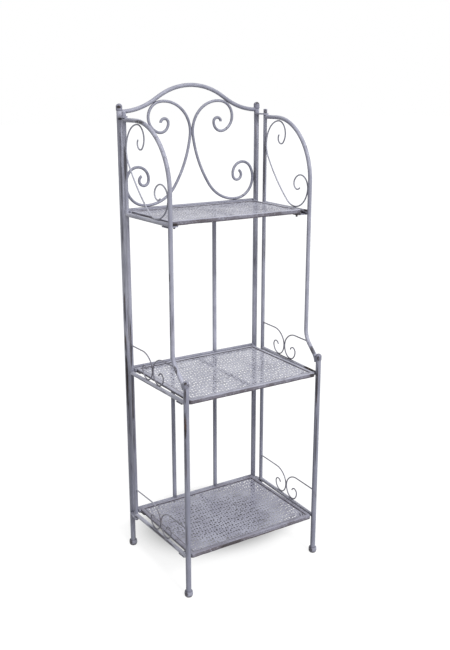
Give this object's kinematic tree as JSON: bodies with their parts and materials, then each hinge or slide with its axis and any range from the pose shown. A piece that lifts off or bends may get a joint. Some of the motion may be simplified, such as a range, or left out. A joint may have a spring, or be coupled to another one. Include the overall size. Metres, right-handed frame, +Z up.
{
  "type": "folding metal etagere",
  "caption": "Folding wrought metal shelf rack with arched, scrolled back and side frames, perforated shelves and round feet, in antique pale paint.",
  "frame": {"origin": "on the floor, at the middle of the footprint of the four feet", "axes": "+Z up, +X to the right seen from the front, -Y to the front"},
  "size_m": [0.5024, 0.3764, 1.452],
  "materials": {
    "frame_paint": "semi-gloss antique paint, rubbed dark at edges",
    "shelf_paint": "semi-gloss antique paint on perforated sheet",
    "hardware_paint": "semi-gloss antique paint, worn darker"
  },
  "bodies": {
    "back_frame": {"left_back_post": "frame_paint", "right_back_post": "frame_paint", "back_post_caps": "frame_paint", "back_feet": "frame_paint", "arched_top_rail": "frame_paint", "bottom_rear_rail": "frame_paint", "middle_rear_rail": "frame_paint", "top_rear_rail": "frame_paint", "left_lower_inner_bar": "frame_paint", "right_lower_inner_bar": "frame_paint", "left_upper_inner_bar": "frame_paint", "right_upper_inner_bar": "frame_paint", "left_back_scroll": "frame_paint", "right_back_scroll": "frame_paint", "left_top_hinge_plate": "hardware_paint", "right_top_hinge_plate": "hardware_paint", "left_bottom_hinge_plate": "hardware_paint", "right_bottom_hinge_plate": "hardware_paint", "bottom_shelf_lugs": "hardware_paint", "middle_shelf_lugs": "hardware_paint", "top_shelf_lugs": "hardware_paint", "bottom_shelf_pins": "hardware_paint", "middle_shelf_pins": "hardware_paint", "top_shelf_pins": "hardware_paint"},
    "left_side_frame": {"left_upright": "frame_paint", "left_hinge_pins": "hardware_paint", "left_arched_side_rail": "frame_paint", "left_front_leg": "frame_paint", "left_front_leg_cap": "frame_paint", "left_front_foot": "frame_paint", "left_bottom_side_bar": "frame_paint", "left_middle_side_bar": "frame_paint", "left_top_side_bar": "frame_paint", "left_middle_gallery": "frame_paint", "left_bottom_gallery": "frame_paint", "left_side_scroll": "frame_paint", "left_ledges": "hardware_paint"},
    "right_side_frame": {"right_upright": "frame_paint", "right_hinge_pins": "hardware_paint", "right_arched_side_rail": "frame_paint", "right_front_leg": "frame_paint", "right_front_leg_cap": "frame_paint", "right_front_foot": "frame_paint", "right_bottom_side_bar": "frame_paint", "right_middle_side_bar": "frame_paint", "right_top_side_bar": "frame_paint", "right_middle_gallery": "frame_paint", "right_bottom_gallery": "frame_paint", "right_side_scroll": "frame_paint", "right_ledges": "hardware_paint"},
    "bottom_shelf": {"bottom_shelf_rim": "shelf_paint", "bottom_shelf_sheet": "shelf_paint", "bottom_shelf_cross_bar": "shelf_paint"},
    "middle_shelf": {"middle_shelf_rim": "shelf_paint", "middle_shelf_sheet": "shelf_paint", "middle_shelf_cross_bar": "shelf_paint"},
    "top_shelf": {"top_shelf_rim": "shelf_paint", "top_shelf_sheet": "shelf_paint", "top_shelf_cross_bar": "shelf_paint"}
  },
  "joints": [
    {"name": "left_side_frame_hinge", "type": "hinge", "parent": "back_frame", "child": "left_side_frame", "pos_m": [-0.24125, 0.135, 0.7], "axis": [0, 0, -1], "range_deg": [0, 90]},
    {"name": "right_side_frame_hinge", "type": "hinge", "parent": "back_frame", "child": "right_side_frame", "pos_m": [0.24125, 0.135, 0.7], "axis": [0, 0, 1], "range_deg": [0, 90]},
    {"name": "bottom_shelf_hinge", "type": "hinge", "parent": "back_frame", "child": "bottom_shelf", "pos_m": [0, 0.1495, 0.1263], "axis": [-1, 0, 0], "range_deg": [0, 91]},
    {"name": "middle_shelf_hinge", "type": "hinge", "parent": "back_frame", "child": "middle_shelf", "pos_m": [0, 0.1495, 0.6033], "axis": [-1, 0, 0], "range_deg": [0, 91]},
    {"name": "top_shelf_hinge", "type": "hinge", "parent": "back_frame", "child": "top_shelf", "pos_m": [0, 0.1495, 1.0863], "axis": [-1, 0, 0], "range_deg": [0, 91]}
  ]
}
